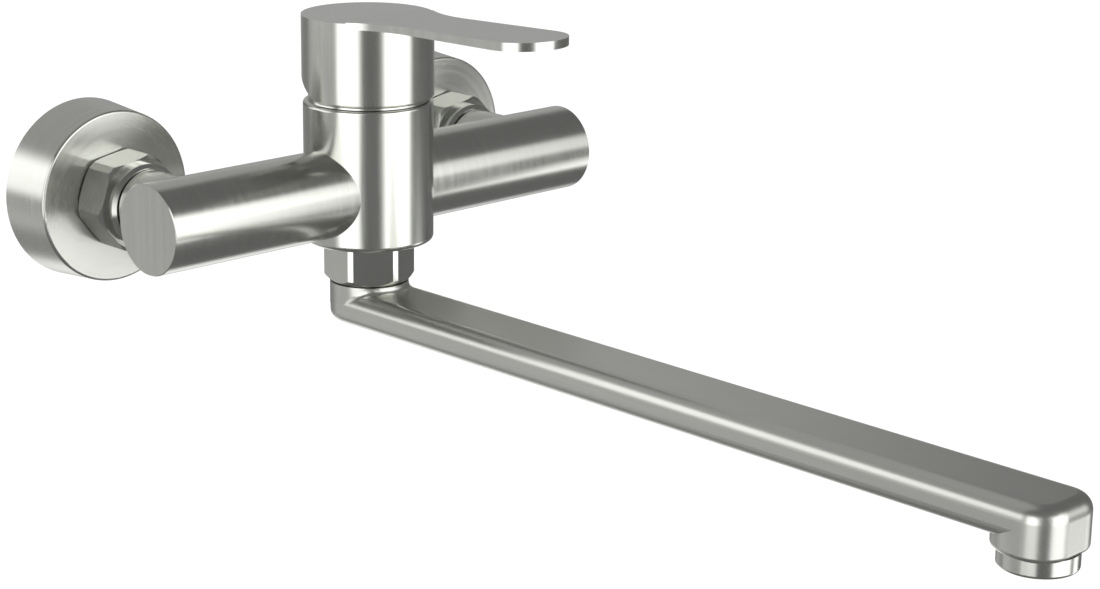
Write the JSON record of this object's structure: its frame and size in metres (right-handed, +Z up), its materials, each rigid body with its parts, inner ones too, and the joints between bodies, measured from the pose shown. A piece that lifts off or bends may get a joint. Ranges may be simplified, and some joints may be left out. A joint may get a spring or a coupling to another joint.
{
  "type": "wall mounted bath faucet",
  "caption": "Wall mounted single-lever bath mixer with crossbar body, round rosettes and a long flat swivelling spout.",
  "frame": {"origin": "midway between the two wall inlets, on the finished wall plane", "axes": "+X along the arms, +Y into the wall, +Z up; the mixer stands out from the wall towards -Y"},
  "size_m": [0.2124, 0.3792, 0.122],
  "materials": {
    "brushed_steel": "satin brushed",
    "polished_steel": "polished",
    "brass": "machined",
    "seal_rubber": "matte",
    "ceramic": "lapped ceramic",
    "cartridge_plastic": "moulded",
    "white_plastic": "moulded",
    "screen_steel": "fine screen"
  },
  "bodies": {
    "body": {"arm_end_left": "brushed_steel", "arm_end_right": "brushed_steel", "cartridge_base": "cartridge_plastic", "cartridge_housing": "cartridge_plastic", "dome_cover": "brushed_steel", "fixed_ceramic_disc": "ceramic", "glide_washer": "white_plastic", "inlet_tail_left": "brass", "inlet_tail_right": "brass", "mixer_body": "brushed_steel", "port_seals": "seal_rubber", "retaining_nut": "brass", "rosette_left": "brushed_steel", "rosette_right": "brushed_steel", "s_union_left": "brass", "s_union_right": "brass", "spout_nut": "polished_steel", "union_gasket_left": "seal_rubber", "union_gasket_right": "seal_rubber", "union_nut_left": "polished_steel", "union_nut_right": "polished_steel"},
    "rotor": {"rotor": "white_plastic", "stem_pin": "polished_steel"},
    "sliding_disc": {"moving_ceramic_disc": "ceramic", "disc_carrier": "white_plastic"},
    "handle": {"handle": "brushed_steel", "stem": "brass", "grub_screw": "polished_steel", "screw_plug": "white_plastic"},
    "spout": {"spout": "brushed_steel", "spout_oring_upper": "seal_rubber", "spout_oring_lower": "seal_rubber", "snap_ring": "white_plastic", "aerator_collar": "polished_steel", "aerator_insert": "white_plastic", "aerator_screen": "screen_steel", "aerator_gasket": "seal_rubber"}
  },
  "joints": [
    {"name": "handle_turn", "type": "hinge", "parent": "body", "child": "rotor", "pos_m": [0, -0.0652, 0.035], "axis": [0, 0, 1], "range_deg": [-45, 45]},
    {"name": "handle_lift", "type": "hinge", "parent": "rotor", "child": "handle", "pos_m": [0, -0.0652, 0.035], "axis": [-1, 0, 0], "range_deg": [0, 25]},
    {"name": "disc_slide", "type": "slide", "parent": "rotor", "child": "sliding_disc", "axis": [0, -1, 0], "range_m": [0, 0.00425]},
    {"name": "spout_swivel", "type": "hinge", "parent": "body", "child": "spout", "pos_m": [0, -0.0652, 0], "axis": [0, 0, 1], "range_deg": [-90, 90]}
  ],
  "couplings": [
    {"joint": "disc_slide", "follows": "handle_lift", "m_per_rad": 0.0097}
  ]
}
